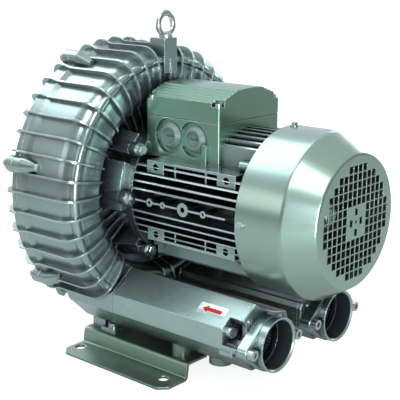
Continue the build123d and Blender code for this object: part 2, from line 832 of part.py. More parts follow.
def build_ball_set(y):
    """Balls of one bearing with the cage that keeps them apart."""
    middle = sum(y) / 2
    pitch = 360 / ball_count
    with BuildPart() as balls:
        with BuildSketch(facing(middle - ball_r - fit_gap)):
            Circle(ball_circle + 1.4)
            Circle(ball_circle - 1.4, mode=Mode.SUBTRACT)
        extrude(amount=1.4)
        with BuildSketch(facing(middle + 1.4)):
            with PolarLocations(ball_circle, ball_count, start_angle=pitch / 2):
                Rectangle(2.6, 4.6)
        extrude(amount=ball_r + 2.0)
        for i in range(ball_count):
            x, z = at_angle(ball_circle, pitch * i)
            add(Sphere(ball_r, mode=Mode.PRIVATE).moved(Location((x, middle, axis_z + z))))
    return balls


def build_end_shield():
    """Front end shield: plate, bearing seat, spigot and four lugs under the fan cover."""
    back, front = frame_front_y, frame_front_y - 10.0
    with BuildPart() as shield:
        with BuildSketch(turning):
            with BuildLine():
                Polyline(
                    (19.0, back + 6.5), (31.0, back + 6.5), (33.0, back), (58.0, back),
                    (58.0, back + 7.0), (spigot_r, back + 7.0), (spigot_r, back), (92.0, back),
                    (92.0, front), (34.0, front), (32.0, free_bearing_y[0] - 1.0),
                    (bearing_r, free_bearing_y[0] - 1.0), (bearing_r, free_bearing_y[1] + 1.6),
                    (19.0, free_bearing_y[1] + 1.6),
                    close=True,
                )
            make_face()
        revolve(axis=motor_axis)
        with BuildSketch(facing(cover_screw_y + 7.0)) as lugs:
            with PolarLocations(93.0, 4):
                Rectangle(26.0, 15.0)
            Circle(cover_r - sheet_t - 0.35, mode=Mode.INTERSECT)
            Circle(80.0, mode=Mode.SUBTRACT)
        extrude(amount=14.0)
        with BuildSketch(facing(front)):
            with PolarLocations(shield_screw_circle, 4, start_angle=45):
                Circle(3.4)
        extrude(amount=-10.0, mode=Mode.SUBTRACT)
        for i in range(4):
            with BuildSketch(out_plane(90 * i, 84.0)):
                Circle(2.6)
            extrude(amount=20.0, mode=Mode.SUBTRACT)
    return shield


def out_plane(degrees, radius, y=None):
    """Plane on a radius of the motor axis, looking outwards, at a fan cover screw."""
    turn = math.radians(degrees)
    out = (math.cos(turn), 0, math.sin(turn))
    where = cover_screw_y if y is None else y
    return Plane(origin=(radius * out[0], where, axis_z + radius * out[2]), x_dir=(0, 1, 0), z_dir=out)


cover_screw_y = -197.0


hub_slot = (6.4, 8.4)      # four slots round the middle of the grille
hub_slot_x, hub_slot_z = 10.4, 12.6


def grille_holes():
    """Centres of the grille's square holes: a clipped grid round a closed middle block."""
    places = [(i - (grille_rows - 1) / 2) * grille_pitch for i in range(grille_rows)]
    grid = [(x, z) for x in places for z in places]
    return [(x, z) for x, z in grid
            if max(abs(x), abs(z)) > 2 * grille_pitch and math.hypot(x, z) < grille_r]


def build_fan_cover():
    """Spun fan cover with a conical end and a square-hole grille."""
    with BuildPart() as cover:
        with BuildSketch(turning):
            with BuildLine() as skin:
                Polyline((cover_r, cover_open_y), (cover_r, cover_cone_y), (cover_end_r, cover_end_y),
                         (0, cover_end_y))
                fillet(nearest(skin.vertices(), cover_r, cover_cone_y), 9.0)
                fillet(nearest(skin.vertices(), cover_end_r, cover_end_y), 4.0)
                offset(amount=-sheet_t, side=Side.RIGHT, closed=True)
            make_face()
        revolve(axis=motor_axis)
        with BuildSketch(facing(cover_end_y + 2 * sheet_t)):
            with Locations(*grille_holes()):
                Rectangle(grille_hole, grille_hole)
            with Locations((0, -hub_slot_z), (0, hub_slot_z), (-hub_slot_x, 0), (hub_slot_x, 0)):
                Rectangle(*hub_slot)
            Circle(2.2)
        extrude(amount=3 * sheet_t, mode=Mode.SUBTRACT)
        for i in range(4):
            with BuildSketch(out_plane(90 * i, 90.0)):
                Circle(2.9)
            extrude(amount=20.0, mode=Mode.SUBTRACT)
    return cover


def build_fan_cover_screws():
    """Four radial screws of the fan cover, with washer faces and slotted-free pan heads."""
    with BuildPart() as screws:
        for i in range(4):
            with BuildSketch(out_plane(90 * i, cover_r + 0.25)):
                Circle(5.0)
            extrude(amount=1.0)
            with BuildSketch(out_plane(90 * i, cover_r + 1.0)):
                RegularPolygon(4.3, 6)
            extrude(amount=3.4)
            with BuildSketch(out_plane(90 * i, 86.0)):
                Circle(2.4)
            extrude(amount=cover_r - 85.0)
    return screws


def build_fan():
    """Plastic cooling fan: hub, back disc and straight blades."""
    with BuildPart() as fan:
        with BuildSketch(turning):
            with BuildLine():
                Polyline(
                    (fan_seat_r, fan_y[1]), (62.0, fan_y[1]), (62.0, fan_y[1] - 2.6),
                    (21.0, fan_y[1] - 2.6), (19.0, clip_y[1] + 0.2), (fan_seat_r, clip_y[1] + 0.2),
                    close=True,
                )
            make_face()
        revolve(axis=motor_axis)
        with BuildSketch(facing(fan_y[1])) as blades:
            with PolarLocations((fan_r + 17.0) / 2, blade_fan_count):
                Rectangle(fan_r - 17.0, 2.4)
            Circle(18.0, mode=Mode.SUBTRACT)
        extrude(amount=fan_y[1] - fan_y[0])
    return fan


# ---------------------------------------------------------------- terminal box
box_floor_z = (seat_z, seat_z + 3.5)
gasket_t = 1.0
post = (9.0, 9.0)
crown_x = 27.0
lid_wall = 3.6
lid_screw_points = [(x, y) for x in (-54.5, 54.5) for y in (box_y[0] + 5.5, box_y[1] - 5.5)]
notch_z = 123.8
board_z = (83.0, 87.0)
stud_points = [(x, y) for x in (-16.0, 0.0, 16.0) for y in (-78.0, -60.0)]
step_count = 5
plug_neck_r = 12.0


def box_side(x, side=-1):
    """Plane of the terminal box's left or right wall, looking outwards; y is Z."""
    return Plane(origin=(x, 0, axis_z), x_dir=(0, side, 0), z_dir=(side, 0, 0))


def build_box_base():
    """Cast terminal box base: saddle skirts over the barrel, floor, cable entries and a rib."""
    length = box_y[1] - box_y[0]
    middle_y = sum(box_y) / 2
    inside_w = 2 * (box_x - box_wall)
    with BuildPart() as base:
        with BuildSketch(Plane.XY.offset(axis_z + deck_z)) as plan:
            with Locations((0, middle_y)):
                RectangleRounded(2 * box_x, length, 3.0)
        extrude(amount=box_split_z - deck_z)
        with BuildSketch(Plane.XY.offset(axis_z + box_floor_z[1])):
            with Locations((0, middle_y)):
                Rectangle(inside_w, length - 2 * box_wall)
                with Locations(*[(sx * (inside_w / 2 - 3), sy * (length / 2 - box_wall - 3))
                                 for sx in (-1, 1) for sy in (-1, 1)]):
                    Rectangle(*post, mode=Mode.SUBTRACT)
        extrude(amount=box_split_z, mode=Mode.SUBTRACT)
        # hollow under the floor, and arches for the barrel in the end walls
        with BuildSketch(Plane.XY.offset(axis_z + deck_z)):
            with Locations((0, middle_y)):
                Rectangle(inside_w, length - 2 * box_wall)
        extrude(amount=box_floor_z[0] - deck_z, mode=Mode.SUBTRACT)
        # thicker wall behind the cable entries
        with BuildSketch(Plane.XY.offset(axis_z + deck_z)):
            block((box_wall - box_x, box_wall - box_x + entry_recess + 1.0),
                  (entry_y[0] - entry_recess_r, entry_y[1] + entry_recess_r))
        extrude(amount=box_split_z - deck_z)
        with BuildSketch(facing(box_y[1] + 1)):
            Circle(barrel_r + free_gap)
        extrude(amount=length + 2, mode=Mode.SUBTRACT)
        # cable entries: overlapping round recesses, each with a bored seat for its plug
        wall = box_side(-box_x)
        entries = [(-y, entry_z) for y in entry_y]
        with BuildSketch(wall):
            with Locations(*entries):
                Circle(entry_recess_r)
        extrude(amount=-entry_recess, mode=Mode.SUBTRACT)
        with BuildSketch(wall):
            with Locations((20.0 - entry_y[0], (deck_z + 70.0) / 2)):
                SlotOverall(77.0 - deck_z + 7.0, 7.0, rotation=90)
            with Locations((20.0 - entry_y[0], deck_z - 5.0)):
                Rectangle(9.0, 10.0, mode=Mode.SUBTRACT)
        extrude(amount=3.6)
        with BuildSketch(wall):
            with Locations(*entries):
                Circle(plug_neck_r + 0.2)
        extrude(amount=-box_wall - entry_recess - 2.0, mode=Mode.SUBTRACT)
        # lid screw holes, seat screws and the lead opening
        with BuildSketch(Plane.XY.offset(axis_z + box_split_z)):
            with Locations(*lid_screw_points):
                Circle(2.5)
        extrude(amount=-16.0, mode=Mode.SUBTRACT)
        with BuildSketch(Plane.XY.offset(axis_z + box_floor_z[0])):
            with Locations(*seat_points):
                Circle(2.9)
            with Locations((0, -30.0)):
                Circle(10.0)
        extrude(amount=6.0, mode=Mode.SUBTRACT)
    return base


def build_box_gasket():
    """Flat gasket between the box and its lid."""
    length = box_y[1] - box_y[0]
    with BuildPart() as gasket:
        with BuildSketch(Plane.XY.offset(axis_z + box_split_z)):
            with Locations((0, sum(box_y) / 2)):
                RectangleRounded(2 * box_x - 1.6, length - 1.6, 3.0)
                Rectangle(2 * (box_x - 11.0), length - 22.0, mode=Mode.SUBTRACT)
            with Locations(*lid_screw_points):
                Circle(2.6, mode=Mode.SUBTRACT)
        extrude(amount=gasket_t)
    return gasket


def build_box_lid():
    """Deep lid with stepped, crowned shoulders and a screw notch at each corner."""
    start = box_split_z + gasket_t
    length = box_y[1] - box_y[0]
    crown_z = box_top_z - 1.6
    rise = (crown_z - box_side_z) / step_count
    tread = (box_x - crown_x) / step_count
    steps = [(box_x, start)]
    for i in range(step_count):
        steps.append((box_x - i * tread, box_side_z + i * rise))
        steps.append((box_x - (i + 1) * tread + 0.5, box_side_z + i * rise + 0.9))
    steps.append((crown_x, crown_z))
    with BuildPart() as lid:
        with BuildSketch(facing(box_y[1])):
            with BuildLine():
                Polyline(*steps)
                ThreePointArc((crown_x, crown_z), (0, box_top_z), (-crown_x, crown_z))
                Polyline(*[(-x, z) for x, z in reversed(steps)], (box_x, start))
            make_face()
        extrude(amount=length)
        fillet(lid.edges().filter_by(Axis.Z).group_by(Axis.X)[0], 2.6)
        fillet(lid.edges().filter_by(Axis.Z).group_by(Axis.X)[-1], 2.6)
        with BuildSketch(facing(box_y[1] - lid_wall)):
            with BuildLine():
                Polyline(
                    (box_x - lid_wall, start), (box_x - lid_wall, box_side_z - lid_wall),
                    (crown_x, crown_z - lid_wall), (-crown_x, crown_z - lid_wall),
                    (lid_wall - box_x, box_side_z - lid_wall), (lid_wall - box_x, start), close=True,
                )
            make_face()
        extrude(amount=length - 2 * lid_wall, mode=Mode.SUBTRACT)
        corners = [(sx * (box_x - 6.0), sum(box_y) / 2 + sy * (length / 2 - 6.0))
                   for sx in (-1, 1) for sy in (-1, 1)]
        with BuildSketch(Plane.XY.offset(axis_z + start)):
            with Locations(*corners):
                Rectangle(10.0, 10.0)
        extrude(amount=notch_z - start)
        with BuildSketch(Plane.XY.offset(axis_z + notch_z)):
            with Locations(*[(x * 1.04, y) for x, y in corners]):
                Rectangle(14.0, 12.6)
        extrude(amount=20.0, mode=Mode.SUBTRACT)
        with BuildSketch(Plane.XY.offset(axis_z + start)):
            with Locations(*lid_screw_points):
                Circle(2.6)
        extrude(amount=notch_z - start, mode=Mode.SUBTRACT)
    return lid


def build_entry_plugs():
    """Blind plugs of the cable entries: sloping rim, sunk middle with a coin slot, threaded neck."""
    wall = box_side(entry_recess - box_x)
    entries = [(-y, entry_z) for y in entry_y]
    with BuildPart() as plugs:
        with BuildSketch(wall):
            with Locations(*entries):
                Circle(plug_r)
        extrude(amount=1.0)
        for entry in entries:
            with BuildSketch(wall.offset(1.0)):
                with Locations(entry):
                    Circle(plug_r)
            with BuildSketch(wall.offset(plug_h + 1.0)):
                with Locations(entry):
                    Circle(plug_top_r)
            loft()
        with BuildSketch(wall):
            with Locations(*entries):
                Circle(plug_neck_r)
        extrude(amount=-entry_recess - 1.5)
        with BuildSketch(wall.offset(plug_h + 1.0)):
            with Locations(*entries):
                Circle(plug_top_r - 2.4)
        extrude(amount=-4.0, mode=Mode.SUBTRACT)
        with BuildSketch(wall.offset(plug_h - 3.0)):
            with Locations(*entries):
                SlotOverall(14.0, 3.2)
        extrude(amount=-2.4, mode=Mode.SUBTRACT)
    return plugs


def build_terminal_board():
    """Insulating board on two feet."""
    with BuildPart() as board:
        with BuildSketch(Plane.XY.offset(axis_z + board_z[0])):
            with Locations((0, -69.0)):
                RectangleRounded(52.0, 40.0, 3.0)
            with Locations(*stud_points):
                Circle(2.15, mode=Mode.SUBTRACT)
        extrude(amount=board_z[1] - board_z[0])
        with BuildSketch(Plane.XY.offset(axis_z + box_floor_z[1])):
            with Locations((-22.0, -69.0), (22.0, -69.0)):
                Rectangle(6.0, 30.0)
        extrude(amount=board_z[0] - box_floor_z[1])
    return board


def build_terminal_studs():
    """Six brass studs with their nuts, each one solid."""
    with BuildPart() as studs:
        with BuildSketch(Plane.XY.offset(axis_z + board_z[1] + 0.9)):
            with Locations(*stud_points):
                RegularPolygon(4.4, 6)
        extrude(amount=3.2)
        with BuildSketch(Plane.XY.offset(axis_z + board_z[0] - 2.0)):
            with Locations(*stud_points):
                Circle(2.1)
        extrude(amount=17.0)
    return studs


def build_terminal_links():
    """Three flat brass links between pairs of studs."""
    pairs = sorted({x for x, y in stud_points})
    with BuildPart() as links:
        with BuildSketch(Plane.XY.offset(axis_z + board_z[1])):
            with Locations(*[(x, -69.0) for x in pairs]):
                SlotOverall(26.0, 8.0, rotation=90)
            with Locations(*stud_points):
                Circle(2.15, mode=Mode.SUBTRACT)
        extrude(amount=0.8)
    return links


# ---------------------------------------------------------------- silencers and ports
plate_t_front = 6.0
port_gasket_t = 0.8
duct_gasket_t = 0.8
silencer_open_y = silencer_back_y - duct_gasket_t
plate_back_y = port_seat_y + plate_t_front
notch_y = -184.0
foam_gap = 1.0
corner_screws = ((92.6, -118.6), (29.0, -131.5))


def notch_face(plane, side):
    """Six-sided notch across the outer top corner of a silencer, on a facing plane."""
    with BuildSketch(plane) as notch:
        with BuildLine():
            Polyline(
                (side * 122.0, -146.0), (side * 105.0, -146.0), (side * 97.0, -139.0),
                (side * 97.0, -124.0), (side * 104.0, -112.0), (side * 122.0, -108.0), close=True,
            )
        make_face()
    return notch.sketch


def build_silencer(side):
    """Cast silencer body, open at the back; side is 1 right, -1 left."""
    with BuildPart() as body:
        add(extrude(silencer_face(facing(silencer_open_y), side), silencer_open_y - plate_back_y,
                    mode=Mode.PRIVATE))
        fillet(body.edges().filter_by(Axis.Y), 2.5)
        add(extrude(silencer_face(facing(silencer_open_y), side, silencer_wall),
                    silencer_open_y - plate_back_y, mode=Mode.PRIVATE), mode=Mode.SUBTRACT)
        # column of the long screw, and its notch
        with BuildSketch(facing(silencer_open_y)):
            with Locations((side * long_screw[0], long_screw[1])):
                Circle(9.0)
        extrude(amount=silencer_open_y - plate_back_y)
        with BuildSketch(facing(plate_back_y + 20.0)):
            with Locations((side * (port_x + lug_x - 2), port_z), (side * (port_x - lug_x + 2), port_z)):
                Rectangle(18.0, 17.0)
            with Locations(*[(side * x, z) for x, z in corner_screws]):
                Circle(6.0)
        extrude(amount=20.0)
        # feet bosses below: one for the foot bolt, one drain boss
        with BuildSketch(Plane.XY.offset(foot_top_z)):
            with Locations((side * front_bolt[0], front_bolt[1])):
                Circle(13.0)
        extrude(amount=axis_z + port_z - 33.0 - foot_top_z)
        with BuildSketch(Plane.XY.offset(foot_top_z + 7.0)):
            with Locations((side * port_x, -140.0)):
                Circle(15.0)
        extrude(amount=axis_z + port_z - 33.0 - foot_top_z - 7.0)
        add(extrude(notch_face(facing(notch_y), side), notch_y - plate_back_y, mode=Mode.PRIVATE),
            mode=Mode.SUBTRACT)
        with BuildSketch(facing(notch_y)):
            with Locations((side * long_screw[0], long_screw[1])):
                Circle(free_8_r)
        extrude(amount=notch_y - silencer_open_y, mode=Mode.SUBTRACT)
        with BuildSketch(facing(plate_back_y)):
            with Locations((side * (port_x + lug_x), port_z), (side * (port_x - lug_x), port_z)):
                Circle(hole_8_r)
            with Locations(*[(side * x, z) for x, z in corner_screws]):
                Circle(2.6)
        extrude(amount=-14.0, mode=Mode.SUBTRACT)
        with BuildSketch(Plane.XY.offset(foot_top_z)):
            with Locations((side * front_bolt[0], front_bolt[1])):
                Circle(hole_8_r)
        extrude(amount=16.0, mode=Mode.SUBTRACT)
    return body


def build_end_plate(side):
    """Front plate of a silencer with the port opening and screw holes."""
    with BuildPart() as plate:
        add(extrude(silencer_face(facing(plate_back_y), side), plate_t_front, mode=Mode.PRIVATE))
        fillet(plate.edges().filter_by(Axis.Y), 2.5)
        chamfer(plate.edges().group_by(Axis.Y)[0], 1.4)
        add(extrude(notch_face(facing(plate_back_y), side), plate_t_front, mode=Mode.PRIVATE),
            mode=Mode.SUBTRACT)
        with BuildSketch(facing(plate_back_y)):
            with Locations((side * port_x, port_z)):
                Circle(port_in_r)
            with Locations((side * (port_x + lug_x), port_z), (side * (port_x - lug_x), port_z)):
                Circle(free_8_r)
            with Locations(*[(side * x, z) for x, z in corner_screws]):
                Circle(2.8)
        extrude(amount=plate_t_front, mode=Mode.SUBTRACT)
        with BuildSketch(facing(port_seat_y)):
            with Locations(*[(side * x, z) for x, z in corner_screws]):
                Circle(4.9)
        extrude(amount=-3.6, mode=Mode.SUBTRACT)
    return plate


def build_flange(side):
    """Port flange: rhombic plate with two lugs and a stub with the bore."""
    seat = port_seat_y - port_gasket_t
    with BuildPart() as flange:
        with BuildSketch(facing(seat, side * port_x, port_z)):
            Circle(port_out_r + 1.2)
            with Locations((-lug_x, 0), (lug_x, 0)):
                Circle(lug_r)
            make_hull()
        extrude(amount=seat - lug_face_y)
        fillet(flange.edges().group_by(Axis.Y)[0], 1.6)
        with BuildSketch(facing(lug_face_y, side * port_x, port_z)):
            Circle(port_out_r)
        extrude(amount=lug_face_y - port_face_y)
        with BuildSketch(facing(seat, side * port_x, port_z)):
            Circle(port_in_r)
        extrude(amount=seat - port_face_y, mode=Mode.SUBTRACT)
        with BuildSketch(facing(seat, side * port_x, port_z)):
            with Locations((-lug_x, 0), (lug_x, 0)):
                Circle(free_8_r)
        extrude(amount=seat - lug_face_y, mode=Mode.SUBTRACT)
        mouth = flange.edges().filter_by(GeomType.CIRCLE).group_by(Axis.Y)[0]
        chamfer(mouth.sort_by(SortBy.RADIUS)[0], 1.6)
    return flange


def build_port_gaskets():
    """Gaskets under both port flanges."""
    lugs = [(side * port_x + lug, port_z) for side in (-1, 1) for lug in (-lug_x, lug_x)]
    with BuildPart() as gaskets:
        for side in (-1, 1):
            with BuildSketch(facing(port_seat_y, side * port_x, port_z)):
                Circle(port_out_r + 0.6)
                with Locations((-lug_x, 0), (lug_x, 0)):
                    Circle(lug_r - 0.6)
                make_hull()
            extrude(amount=port_gasket_t)
        with BuildSketch(facing(port_seat_y)):
            with Locations((-port_x, port_z), (port_x, port_z)):
                Circle(port_in_r + 0.3)
            with Locations(*lugs):
                Circle(free_8_r)
        extrude(amount=port_gasket_t, mode=Mode.SUBTRACT)
    return gaskets


def build_duct_gaskets():
    """Gaskets between the casing's ducts and the silencers."""
    screws = [(side * long_screw[0], long_screw[1]) for side in (-1, 1)]
    with BuildPart() as gaskets:
        for side in (-1, 1):
            add(extrude(silencer_face(facing(silencer_back_y), side, 0.6), duct_gasket_t,
                        mode=Mode.PRIVATE))
            add(extrude(silencer_face(facing(silencer_back_y), side, silencer_wall), duct_gasket_t,
                        mode=Mode.PRIVATE), mode=Mode.SUBTRACT)
        with BuildSketch(facing(silencer_back_y)):
            with Locations(*screws):
                Circle(8.0)
        extrude(amount=duct_gasket_t)
        with BuildSketch(facing(silencer_back_y)):
            with Locations(*screws):
                Circle(free_8_r)
        extrude(amount=duct_gasket_t, mode=Mode.SUBTRACT)
    return gaskets


def build_liner(side):
    """Perforated tube between the port and the duct."""
    back, front = silencer_open_y - 1.0, plate_back_y + 0.2
    with BuildPart() as liner:
        with BuildSketch(facing(back, side * port_x, port_z)):
            Circle(liner_r)
            Circle(liner_r - liner_t, mode=Mode.SUBTRACT)
        extrude(amount=back - front)
        for turn in range(0, 180, 30):
            spoke = (0, math.sin(math.radians(turn)), math.cos(math.radians(turn)))
            wall = Plane(origin=(side * port_x, 0, axis_z + port_z), x_dir=(0, 1, 0),
                         z_dir=(spoke[1], 0, spoke[2]))
            with BuildSketch(wall):
                with Locations(((back + front) / 2, 0)):
                    with GridLocations(16.0, 1.0, 12, 1):
                        RegularPolygon(4.6, 4)
            extrude(amount=liner_r + 1, both=True, mode=Mode.SUBTRACT)
    return liner


def build_foam(side):
    """Sound-absorbing foam block round the perforated tube."""
    back, front = silencer_open_y - 2.0, plate_back_y + 20.5
    with BuildPart() as foam:
        add(extrude(silencer_face(facing(back), side, silencer_wall + foam_gap), back - front,
                    mode=Mode.PRIVATE))
        with BuildSketch(facing(back)):
            with Locations((side * port_x, port_z)):
                Circle(liner_r + free_gap)
            with Locations((side * long_screw[0], long_screw[1])):
                Circle(9.0 + free_gap)
        extrude(amount=back - front, mode=Mode.SUBTRACT)
    return foam


# ---------------------------------------------------------------- feet and fasteners
nut_h = 6.5
bend_r = 6.0
riser_slope = 3.0       # the riser stands this much further out at the floor


def build_foot(side):
    """Bent plate foot: lower flange with two holes, riser, and upper flange under the legs."""
    with BuildPart() as foot:
        with BuildSketch(Plane.XZ.offset(-foot_ends_y[1])) as section:
            with BuildLine():
                Polyline(
                    (side * foot_out_x, 0), (side * (riser_x + riser_slope - plate_t), 0),
                    (side * (riser_x - plate_t), foot_top_z - plate_t),
                    (side * foot_in_x, foot_top_z - plate_t), (side * foot_in_x, foot_top_z),
                    (side * riser_x, foot_top_z), (side * (riser_x + riser_slope), plate_t),
                    (side * foot_out_x, plate_t), close=True,
                )
            make_face()
            fillet(nearest(section.vertices(), side * riser_x, foot_top_z), bend_r)
            fillet(nearest(section.vertices(), side * (riser_x + riser_slope - plate_t), 0), bend_r)
            fillet(nearest(section.vertices(), side * (riser_x + riser_slope), plate_t),
                   bend_r - plate_t)
            fillet(nearest(section.vertices(), side * (riser_x - plate_t), foot_top_z - plate_t),
                   bend_r - plate_t)
        extrude(amount=foot_ends_y[1] - foot_ends_y[0])
        outer = foot.edges().filter_by(Axis.Z).group_by(Axis.X)[-1 if side > 0 else 0]
        chamfer(outer, 11.0)
        with BuildSketch(Plane.XY):
            with Locations((side * foot_x, -foot_y), (side * foot_x, foot_y)):
                Circle(foot_hole_d / 2)
        extrude(amount=plate_t, mode=Mode.SUBTRACT)
        rims = foot.edges().filter_by(GeomType.CIRCLE).filter_by(lambda rim: rim.radius > free_8_r)
        chamfer(rims.filter_by_position(Axis.Z, plate_t - 0.01, plate_t + 0.01), 0.8)
        with BuildSketch(Plane.XY.offset(foot_top_z - plate_t)):
            with Locations((side * leg_bolt[0], leg_bolt[1]), (side * front_bolt[0], front_bolt[1])):
                Circle(free_8_r)
        extrude(amount=plate_t, mode=Mode.SUBTRACT)
    return foot


def build_leg_nuts(points):
    """Hexagon nuts below the feet."""
    with BuildPart() as nuts:
        with BuildSketch(Plane.XY.offset(foot_top_z - plate_t)):
            with Locations(*points):
                RegularPolygon(7.4, 6)
            with Locations(*points):
                Circle(hole_8_r, mode=Mode.SUBTRACT)
        extrude(amount=-nut_h)
    return nuts


def build_eye_bolt():
    """Lifting eye bolt with collar, forged ring and thread."""
    seat = axis_z + eye_seat_z
    centre_z = seat + 18.0
    with BuildPart() as eye:
        with BuildSketch(Plane(origin=(0, eye_y, seat), x_dir=(1, 0, 0), z_dir=(0, -1, 0))):
            with BuildLine():
                Polyline(
                    (0, -13.0), (screw_8_r, -13.0), (screw_8_r, 0), (10.0, 0), (10.0, 4.0),
                    (6.4, 7.0), (0, 7.0), close=True,
                )
            make_face()
        revolve(axis=Axis((0, eye_y, 0), (0, 0, 1)))
        ring_plane = Plane(origin=(0, eye_y, centre_z), x_dir=(1, 0, 0), z_dir=(0, 0, 1))
        with BuildSketch(ring_plane):
            with Locations((eye_r, 0)):
                Circle(eye_wire_r)
        revolve(axis=Axis((0, eye_y, centre_z), (0, 1, 0)))
    return eye


def build_fan_clip():
    """Open retaining ring in the shaft's groove."""
    with BuildPart() as clip:
        with BuildSketch(facing(clip_y[1] - 0.1)):
            Circle(14.5)
            Circle(fan_seat_r - 0.95, mode=Mode.SUBTRACT)
            with Locations((0, -12.0)):
                Rectangle(7.0, 12.0, mode=Mode.SUBTRACT)
        extrude(amount=clip_y[1] - clip_y[0] - 0.2)
    return clip


def build_rotor_core():
    """Laminated rotor core with end rings and small cooling fins on them."""
    with BuildPart() as core:
        with BuildSketch(facing(core_y[1])):
            Circle(rotor_r)
            Circle(core_seat_r, mode=Mode.SUBTRACT)
        extrude(amount=core_y[1] - core_y[0])
        for y, depth in ((core_y[1] + 9.0, 9.0), (core_y[0], 9.0)):
            with BuildSketch(facing(y)):
                Circle(rotor_r - 2.0)
                Circle(rotor_r - 12.0, mode=Mode.SUBTRACT)
            extrude(amount=depth)
    return core


# ---------------------------------------------------------------- the pieces
sides = {"inlet": -1, "outlet": 1}
shield_points = [at_angle(shield_screw_circle, 90 * i + 45) for i in range(4)]
port_points = [(side * port_x + lug, port_z) for side in (-1, 1) for lug in (-lug_x, lug_x)]
leg_points = [(side * leg_bolt[0], leg_bolt[1]) for side in (-1, 1)]
front_points = [(side * front_bolt[0], front_bolt[1]) for side in (-1, 1)]
back_of = Plane(origin=(0, cover_boss_y, axis_z), x_dir=(-1, 0, 0), z_dir=(0, 1, 0))
under_feet = Plane(origin=(0, 0, foot_top_z - plate_t), x_dir=(1, 0, 0), z_dir=(0, 0, -1))

save(build_housing(), "blower_housing")
save(build_cover_seal(), "cover_seal")
save(build_rear_cover(), "rear_cover")
save(cap_screw(back_of, [(-x, z) for x, z in boss_points], screw_8_r, 31.0, 6.5, 8.0, 3.4),
     "cover_screws")
save(build_motor_frame(), "motor_frame")
save(build_stator_core(), "stator_core")
save(build_winding(), "stator_winding")
save(washers(facing(-flange_t), ear_points, 7.8, 4.2, 1.6), "motor_flange_washers")
save(hex_bolt(facing(-flange_t - 1.6), ear_points, screw_8_r, 30.0, 7.4, 5.3), "motor_flange_bolts")
save(build_end_shield(), "end_shield")
save(hex_bolt(facing(frame_front_y - 10.0), shield_points, 2.9, 24.0, 5.6, 4.0), "end_shield_screws")
save(build_fan_cover(), "fan_cover")
save(build_fan_cover_screws(), "fan_cover_screws")
save(build_box_base(), "terminal_box_base")
save(build_box_gasket(), "terminal_box_gasket")
save(build_box_lid(), "terminal_box_lid")
save(cap_screw(Plane.XY.offset(axis_z + notch_z), lid_screw_points, 2.4, 34.0, 4.3, 4.0, 2.4),
     "terminal_lid_screws")
save(cap_screw(Plane.XY.offset(axis_z + box_floor_z[1]), seat_points, 2.4, 11.0, 4.3, 4.0, 2.4),
     "terminal_base_screws")
save(build_entry_plugs(), "cable_entry_plugs")
save(build_terminal_board(), "terminal_board")
save(build_terminal_studs(), "terminal_studs")
save(build_terminal_links(), "terminal_links")
for name, side in sides.items():
    save(build_silencer(side), f"{name}_silencer")
    save(build_end_plate(side), f"{name}_end_plate")
    save(build_flange(side), f"{name}_port_flange")
    save(build_liner(side), f"{name}_liner")
    save(build_foam(side), f"{name}_foam")
save(build_port_gaskets(), "port_gaskets")
save(build_duct_gaskets(), "duct_gaskets")
save(cap_screw(facing(notch_y), [(side * long_screw[0], long_screw[1]) for side in (-1, 1)],
               screw_8_r, 204.0, 6.5, 8.0, 3.4), "silencer_screws")
save(cap_screw(facing(port_seat_y + 3.6), [(side * x, z) for side in (-1, 1) for x, z in corner_screws],
               2.4, 12.0, 4.4, 2.8, 2.2), "end_plate_screws")
save(cap_screw(facing(lug_face_y), port_points, screw_8_r, 32.0, 6.5, 8.0, 3.6), "port_screws")
save(build_foot(-1), "foot_left")
save(build_foot(1), "foot_right")
save(washers(Plane.XY.offset(foot_top_z + leg_lug_t), leg_points, 7.8, 4.2, 1.6), "foot_washers")
save(hex_bolt(Plane.XY.offset(foot_top_z + leg_lug_t + 1.6), leg_points, screw_8_r, 24.0, 7.4, 5.3),
     "foot_bolts")
save(build_leg_nuts(leg_points), "foot_nuts")
save(hex_bolt(under_feet, [(x, -y) for x, y in front_points], screw_8_r, 17.0, 7.4, 5.3),
     "front_foot_bolts")
save(build_eye_bolt(), "eye_bolt")
save(turned([(shaft_r + fit_gap, seal_y[0] + seat_gap), (seal_r - seat_gap, seal_y[0] + seat_gap),
             (seal_r - seat_gap, seal_y[1]), (shaft_r + fit_gap, seal_y[1])]), "shaft_seal")
save(turned([(outer_race_r + 0.8, free_bearing_y[1] + 0.05), (bearing_r - 0.4, free_bearing_y[1] + 0.05),
             (bearing_r - 0.4, free_bearing_y[1] + 1.55), (outer_race_r + 0.8, free_bearing_y[1] + 1.55)]),
     "bearing_spring_washer")
for name, span in (("drive", drive_bearing_y), ("fan", free_bearing_y)):
    outer_ring, inner_ring = bearing_rings(span)
    save(outer_ring, f"{name}_bearing_outer")
    save(inner_ring, f"{name}_bearing_inner")
    save(build_ball_set(span), f"{name}_bearing_balls")
save(build_shaft(), "shaft")
save(build_key(), "impeller_key")
save(build_impeller(), "impeller")
save(turned([(4.2, shaft_end_y), (20.0, shaft_end_y), (20.0, shaft_end_y + 3.0),
             (4.2, shaft_end_y + 3.0)]), "impeller_washer")
impeller_end = Plane(origin=(0, shaft_end_y + 3.0, axis_z), x_dir=(-1, 0, 0), z_dir=(0, 1, 0))
save(hex_bolt(impeller_end, [(0, 0)], screw_8_r, 24.0, 7.4, 5.3), "impeller_screw")
save(build_rotor_core(), "rotor_core")
save(build_fan(), "cooling_fan")
save(build_fan_clip(), "fan_clip")
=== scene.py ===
"""Looks of a side channel blower: finishes, flow sign, studio and camera, round its CAD frame.

Everything is in metres, with +Z up, the ports and the fan cover towards -Y, and the inlet at -X.
"""
import json
import math

import bmesh
import bpy
from mathutils import Matrix, Vector


